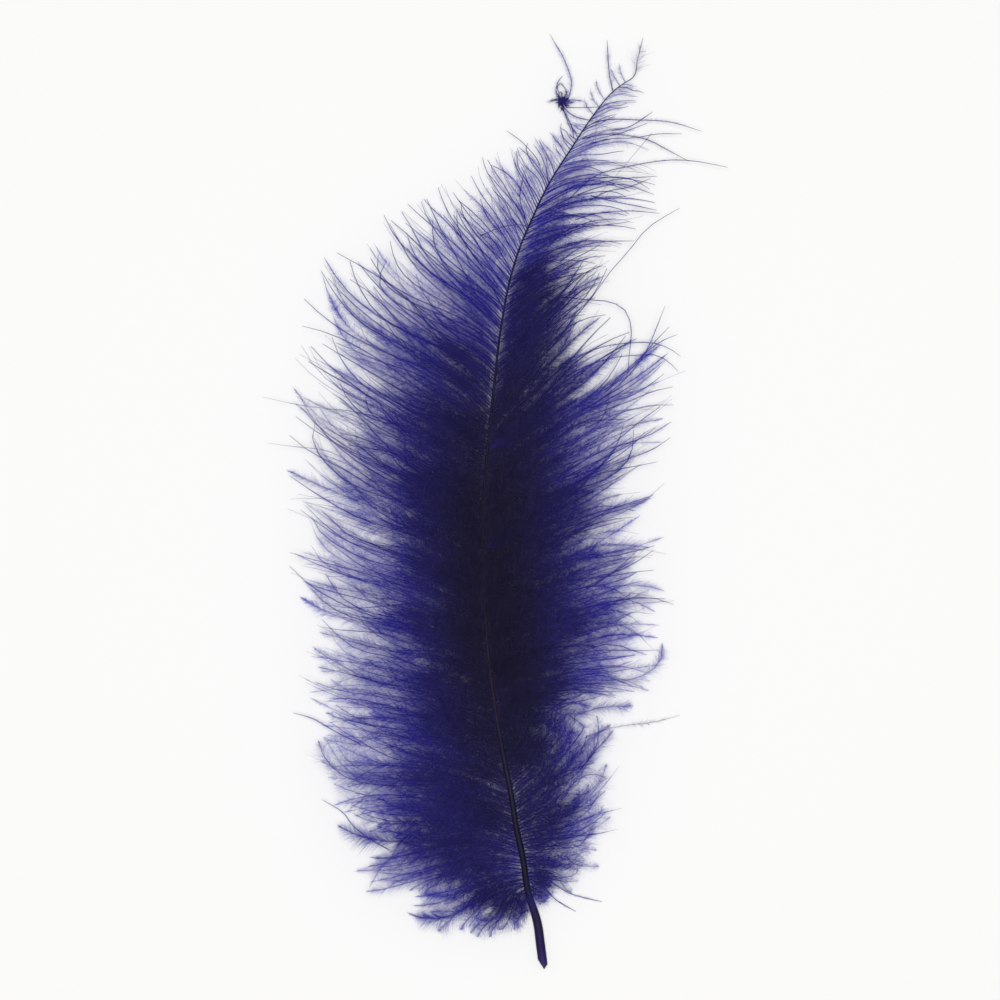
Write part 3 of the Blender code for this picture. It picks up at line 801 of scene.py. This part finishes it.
def down_tree():
    """Geometry tree: edge chains become three-sided barbs, with ribbons set along them all round."""
    tree = bpy.data.node_groups.new("barbs and barbules", "GeometryNodeTree")
    for name, kind in (
        ("Barb lines", "NodeSocketGeometry"),
        ("Barbule kinds", "NodeSocketCollection"),
        ("Barbule spacing", "NodeSocketFloat"),
        ("Seed", "NodeSocketInt"),
        ("Down material", "NodeSocketMaterial"),
    ):
        tree.interface.new_socket(name, in_out="INPUT", socket_type=kind)
    tree.interface.new_socket("Down", in_out="OUTPUT", socket_type="NodeSocketGeometry")
    make = partial(add_node, tree)
    maths, store, vector = "ShaderNodeMath", "GeometryNodeStoreNamedAttribute", "ShaderNodeCombineXYZ"
    given = make("NodeGroupInput").outputs
    names = (*TRAITS, "grain_x", "grain_y")
    trait = {name: make("GeometryNodeInputNamedAttribute", {"Name": name}) for name in names}
    lines = make("GeometryNodeMeshToCurve", {"Mesh": given["Barb lines"]})

    # Barbs: the line swept with a triangle, thinner towards its tip.
    along = make("GeometryNodeSplineParameter")
    ring = make("GeometryNodeCurvePrimitiveCircle", {"Resolution": 3, "Radius": 1.0})
    ring = make(store, {"Geometry": ring, "Name": "grain_y", "Value": along})
    stems = make(store, {"Geometry": lines, "Name": "grain_x", "Value": along})
    darker = make(maths, {0: trait["depth"], 1: STEM_DEPTH}, operation="ADD", use_clamp=True)
    stems = make(store, {"Geometry": stems, "Name": "depth", "Value": darker})
    swept = {"Curve": stems, "Profile Curve": ring, "Scale": trait["thickness"], "Fill Caps": True}
    stems = make("GeometryNodeCurveToMesh", swept)
    grain = make(vector, {"X": trait["grain_x"], "Y": trait["grain_y"]})
    stems = make(store, {"Geometry": stems, "Name": "grain", "Value": grain}, data_type="FLOAT_VECTOR")

    # Chance decides for each barbule: three turns, its length, whether it bends and how, and whether it grows.
    lean = [math.radians(angle - 90) for angle in BARBULE_LEANS]
    bends = (1, len(BARBULE_BENDS))
    spans = ((0.0, 2 * math.pi), lean, (0.0, math.pi), BARBULE_LENGTHS, (0.0, 1.0), bends, (0.0, 1.0))
    dice = []
    for offset, (least, most) in enumerate(spans):
        seed = make(maths, {0: given["Seed"], 1: offset}, operation="ADD")
        kind = "INT" if (least, most) == bends else "FLOAT"
        limits = {"Min": least, "Max": most, "Seed": seed}
        dice.append(make("FunctionNodeRandomValue", limits, data_type=kind))
    spin, tip, flip, stretch, bend, pick, grow = dice

    # Barbules: ribbons along the barb, turned about it and leaning towards its tip.
    divided = {"Curve": lines, "Length": given["Barbule spacing"]}
    spots = make("GeometryNodeResampleCurve", divided, mode="LENGTH")
    facing = make("FunctionNodeAlignRotationToVector", {"Vector": make("GeometryNodeInputTangent")}, axis="Z")
    for axis, angle in (((0.0, 0.0, 1.0), spin), ((0.0, 1.0, 0.0), tip), ((1.0, 0.0, 0.0), flip)):
        turn = make("FunctionNodeAxisAngleToRotation", {"Axis": axis, "Angle": angle})
        rotations = {"Rotation": facing, "Rotate By": turn}
        facing = make("FunctionNodeRotateRotation", rotations, rotation_space="LOCAL")
    length = make(maths, {0: trait["down"], 1: stretch}, operation="MULTIPLY")
    long_enough = make(maths, {0: trait["down"], 1: LEAST_DOWN * MM}, operation="GREATER_THAN")
    chosen = make(maths, {0: grow, 1: trait["share"]}, operation="LESS_THAN")
    bent = make(maths, {0: bend, 1: trait["straight"]}, operation="GREATER_THAN")
    kinds = {"Collection": given["Barbule kinds"], "Separate Children": True, "Reset Children": True}
    barbules = make(
        "GeometryNodeInstanceOnPoints",
        {
            "Points": spots,
            "Selection": make(maths, {0: long_enough, 1: chosen}, operation="MULTIPLY"),
            "Instance": make("GeometryNodeCollectionInfo", kinds),
            "Pick Instance": True,
            "Instance Index": make(maths, {0: bent, 1: pick}, operation="MULTIPLY"),
            "Rotation": facing,
            "Scale": make(vector, {"X": length, "Y": length, "Z": trait["width"]}),
        },
    )
    join = make("GeometryNodeJoinGeometry")
    for part in (stems, barbules):
        tree.links.new(part.outputs[0], join.inputs["Geometry"])
    down = make("GeometryNodeRealizeInstances", {"Geometry": join})

    # Place in the palette: depth and tint, with a little room for every face.
    grain = make("GeometryNodeInputNamedAttribute", {"Name": "grain"}, data_type="FLOAT_VECTOR")
    split = make("ShaderNodeSeparateXYZ", {"Vector": grain}).outputs
    span, room, margin = PALETTE
    place = {}
    for axis, name in (("X", "depth"), ("Y", "tint")):
        coarse = make(maths, {0: trait[name], 1: span}, operation="MULTIPLY")
        fine = make(maths, {0: split[axis], 1: room}, operation="MULTIPLY")
        both = make(maths, {0: coarse, 1: fine}, operation="ADD")
        place[axis] = make(maths, {0: both, 1: margin}, operation="ADD")
    stored = {"Geometry": down, "Name": "OFBake", "Value": make(vector, place)}
    down = make(store, stored, data_type="FLOAT2", domain="CORNER")
    down = make("GeometryNodeSetMaterial", {"Geometry": down, "Material": given["Down material"]})
    make("NodeGroupOutput", {"Down": down})
    return tree


def grown(lines, tree, values):
    """The object with the tree's result as a plain mesh of its own, under its own name."""
    modifier = lines.modifiers.new("down", "NODES")
    modifier.node_group = tree
    for item in tree.interface.items_tree:
        if item.name in values:
            modifier[item.identifier] = values[item.name]
    graph = bpy.context.evaluated_depsgraph_get()
    mesh = bpy.data.meshes.new_from_object(lines.evaluated_get(graph))
    lines.modifiers.remove(modifier)
    old = lines.data
    lines.data = mesh
    bpy.data.meshes.remove(old)
    for name in (*TRAITS, "grain", "grain_x", "grain_y"):
        if name in mesh.attributes:
            mesh.attributes.remove(mesh.attributes[name])
    mesh.name = lines.name
    points = np.empty(len(mesh.vertices) * 3, np.float32)
    mesh.vertices.foreach_get("co", points)
    points[2::3] = np.maximum(points[2::3], LYING_HEIGHT * MM)
    mesh.vertices.foreach_set("co", points)
    mesh.update()
    return lines


def new_material(name):
    material = bpy.data.materials.new(name)
    material.use_nodes = True
    return material, material.node_tree, material.node_tree.nodes["Principled BSDF"]


def down_material():
    """Indigo dye, painted lighter in the open fringe and in painted shade to near black in closed down; no
    shine.
    """
    material, tree, shader = new_material("indigo-dyed down")
    place = add_node(tree, "ShaderNodeUVMap", uv_map="OFBake")
    split = add_node(tree, "ShaderNodeSeparateXYZ", {"Vector": place}).outputs
    # The ramp by depth is painted light and shade: lighter in the open fringe, painted shade to near black in
    # closed down.
    ramp = add_node(tree, "ShaderNodeValToRGB", {"Fac": split["X"]})
    stops = ramp.color_ramp.elements
    stops[0].color, stops[1].color = linear(DOWN_HEX[0]), linear(DOWN_HEX[2])
    stops.new(DOWN_MIDDLE).color = linear(DOWN_HEX[1])
    tint = add_node(tree, "ShaderNodeMapRange", {"Value": split["Y"], "To Min": TINTS[0], "To Max": TINTS[1]})
    colour = add_node(tree, "ShaderNodeHueSaturation", {"Color": ramp, "Value": tint})
    tree.links.new(colour.outputs["Color"], shader.inputs["Base Color"])
    shader.inputs["Roughness"].default_value = 0.75
    shader.inputs["Specular IOR Level"].default_value = 0.2
    return material


def shaft_material():
    """Dyed keratin: violet at the quill, brown-purple in the middle, near black above; a soft gloss."""
    material, tree, shader = new_material("dyed keratin shaft")
    where = add_node(tree, "ShaderNodeTexCoord").outputs["Object"]
    y = add_node(tree, "ShaderNodeSeparateXYZ", {"Vector": where}).outputs["Y"]
    low, high = SHAFT_COLOURS[0][0], SHAFT_COLOURS[-1][0]
    along = add_node(tree, "ShaderNodeMapRange", {"Value": y, "From Min": low * MM, "From Max": high * MM})
    ramp = add_node(tree, "ShaderNodeValToRGB", {"Fac": along})
    stops = ramp.color_ramp.elements
    for index, (place, code) in enumerate(SHAFT_COLOURS):
        share = (place - low) / (high - low)
        stop = stops[0] if index == 0 else stops[-1] if share == 1 else stops.new(share)
        stop.color = linear(code)
    tree.links.new(ramp.outputs["Color"], shader.inputs["Base Color"])
    shader.inputs["Roughness"].default_value = 0.6
    shader.inputs["IOR"].default_value = 1.55
    shader.inputs["Specular IOR Level"].default_value = 0.12
    return material


def shaft_piece():
    """The shaft as a tapered tube through its centre points, with the quill's two slanting cuts."""
    table = np.array(SHAFT)
    data = bpy.data.curves.new("shaft line", "CURVE")
    data.dimensions = "3D"
    data.bevel_depth = MM
    data.bevel_resolution = SHAFT_SIDES // 2 - 2
    data.use_fill_caps = True
    spline = data.splines.new("BEZIER")
    spline.bezier_points.add(len(table) - 1)
    for point, (x, y, z, radius) in zip(spline.bezier_points, table):
        point.co = Vector((x, y, z)) * MM
        point.radius = radius
        point.handle_left_type = point.handle_right_type = "AUTO"
    data.resolution_u = SHAFT_STEPS
    line = new_object("shaft line", data)
    graph = bpy.context.evaluated_depsgraph_get()
    mesh = bpy.data.meshes.new_from_object(line.evaluated_get(graph))
    bpy.data.objects.remove(line, do_unlink=True)
    form = bmesh.new()
    form.from_mesh(mesh)
    bmesh.ops.remove_doubles(form, verts=form.verts, dist=0.00001)
    for slope in QUILL_CUTS:
        normal = Matrix.Rotation(math.radians(slope), 3, "Z") @ Vector((0, -1, 0))
        cut = bmesh.ops.bisect_plane(
            form,
            geom=form.verts[:] + form.edges[:] + form.faces[:],
            plane_co=Vector((*QUILL_POINT, 0)) * MM,
            plane_no=normal,
            clear_outer=True,
        )
        edges = [e for e in cut["geom_cut"] if isinstance(e, bmesh.types.BMEdge)]
        bmesh.ops.holes_fill(form, edges=edges)
    bmesh.ops.recalc_face_normals(form, faces=form.faces)
    form.to_mesh(mesh)
    form.free()
    shaft = new_object("shaft", mesh)
    for face in mesh.polygons:
        face.use_smooth = True
    mesh.materials.clear()
    mesh.materials.append(shaft_material())
    return shaft


def dress(piece):
    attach(piece, "root")
    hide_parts("feather")


def add_stage():
    """Pale table, soft light from a panel overhead and from all round, and a camera looking straight down."""
    bpy.ops.mesh.primitive_plane_add(size=3.0)
    floor = bpy.context.object
    floor.name = "table"
    material, _, shader = new_material("matt white paper")
    shader.inputs["Base Color"].default_value = linear(FLOOR_HEX)
    shader.inputs["Roughness"].default_value = 0.9
    shader.inputs["Specular IOR Level"].default_value = 0.1
    floor.data.materials.append(material)

    world = bpy.data.worlds.new("white room")
    world.use_nodes = True
    world.node_tree.nodes["Background"].inputs["Color"].default_value = (1.0, 1.0, 1.0, 1.0)
    world.node_tree.nodes["Background"].inputs["Strength"].default_value = ROOM_LIGHT
    bpy.context.scene.world = world

    panel = bpy.data.lights.new("overhead panel", "AREA")
    panel.size = 0.35
    panel.energy = PANEL_WATTS
    lamp = bpy.data.objects.new("overhead panel", panel)
    lamp.location = (0.0, 0.0, 1.3)
    bpy.context.scene.collection.objects.link(lamp)

    camera = bpy.data.cameras.new("camera")
    camera.lens = 200
    camera.sensor_width = 36
    camera.clip_start, camera.clip_end = 0.05, 10
    x, y, z = (value * MM for value in PHOTO_CENTRE)
    eye = bpy.data.objects.new("camera", camera)
    eye.location = (x, y, z + PHOTO_WIDTH * MM * camera.lens / camera.sensor_width)
    bpy.context.scene.collection.objects.link(eye)
    bpy.context.scene.camera = eye
    bpy.context.scene.view_settings.view_transform = "Standard"


def build():
    rng = np.random.default_rng(SEED)
    tree = down_tree()
    kinds = barbule_kinds()
    material = down_material()
    dress(shaft_piece())
    rows = [(side, word, *barb_row(side, rng)) for side, word in ((-1, "left"), (1, "right"))]
    crowd = crowding([row[2] for row in rows])
    wanted = [layers_wanted(side, *row) for side, _, *row in rows]
    closed = crowding([row[2] for row in rows], wanted)
    values = {
        "Barbule kinds": kinds,
        "Barbule spacing": BARBULE_SPACING * MM,
        "Seed": SEED,
        "Down material": material,
    }
    for (_, word, line, root_y, reach), layers in zip(rows, wanted):
        for part, band in zip(np.array_split(np.arange(len(line)), len(BANDS)), BANDS):
            traits = row_traits(line[part], root_y[part], reach[part], layers[part], closed, crowd, rng)
            lines = barb_mesh(f"down_{word}_{band}", line[part], traits, rng)
            dress(grown(lines, tree, values))
    line, traits = stray_barbs(rng)
    dress(grown(barb_mesh("stray_barbs", line, traits, rng), tree, values))
    add_stage()


build()
